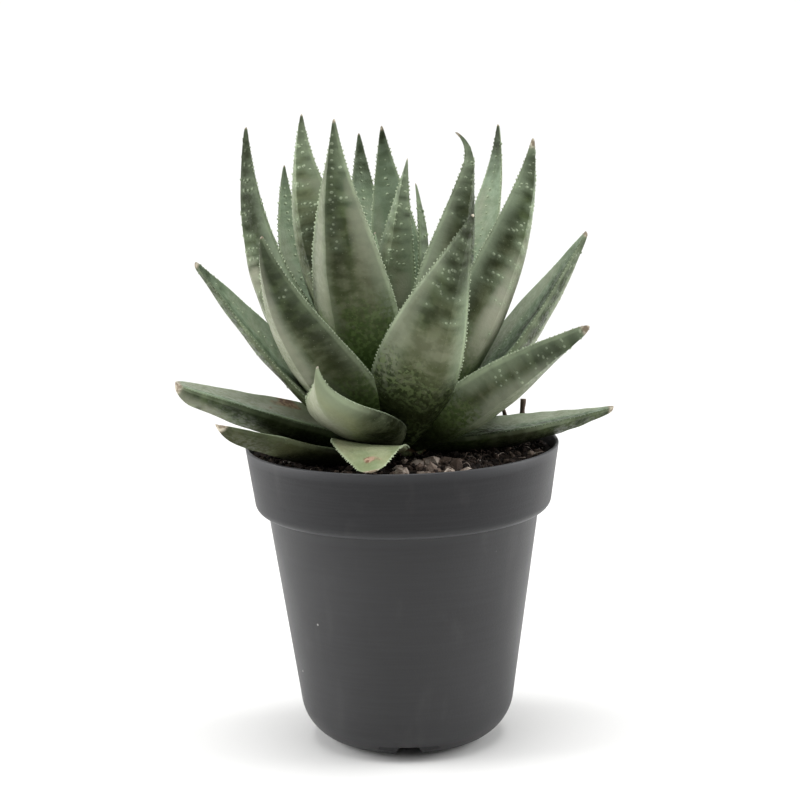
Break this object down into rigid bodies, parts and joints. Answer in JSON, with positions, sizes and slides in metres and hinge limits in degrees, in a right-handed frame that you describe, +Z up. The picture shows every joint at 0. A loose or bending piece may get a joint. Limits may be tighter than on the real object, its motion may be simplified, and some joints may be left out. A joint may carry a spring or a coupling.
{
  "type": "potted succulent",
  "caption": "Potted haworthia: a rosette of pointed, toothed, white-dotted leaves rising from dark potting mix in a round tapered nursery pot with a collared rim.",
  "frame": {"origin": "on the pot's axis, on the surface that the pot stands on", "axes": "+Z up along the pot's axis; the front of the plant, as pictured, faces -Y and +X is its right"},
  "size_m": [0.165, 0.1314, 0.2417],
  "materials": {
    "pot": "satin-matt dark grey moulded plastic",
    "soil": "dark brown, coarse and dry",
    "stem": "matt pale green",
    "leaf": "satin sage green with pale margins and white raised dots"
  },
  "bodies": {
    "root": {"pot": "pot", "soil": "soil", "stem": "stem", "leaf_01": "leaf", "leaf_02": "leaf", "leaf_03": "leaf", "leaf_04": "leaf", "leaf_05": "leaf", "leaf_06": "leaf", "leaf_07": "leaf", "leaf_08": "leaf", "leaf_09": "leaf", "leaf_10": "leaf", "leaf_11": "leaf", "leaf_12": "leaf", "leaf_13": "leaf", "leaf_14": "leaf", "leaf_15": "leaf", "leaf_16": "leaf", "leaf_17": "leaf", "leaf_18": "leaf", "leaf_19": "leaf", "leaf_20": "leaf", "leaf_21": "leaf", "leaf_22": "leaf", "leaf_23": "leaf", "leaf_24": "leaf", "leaf_25": "leaf", "leaf_26": "leaf", "leaf_27": "leaf", "leaf_28": "leaf", "leaf_29": "leaf", "leaf_30": "leaf", "leaf_31": "leaf"}
  },
  "joints": []
}
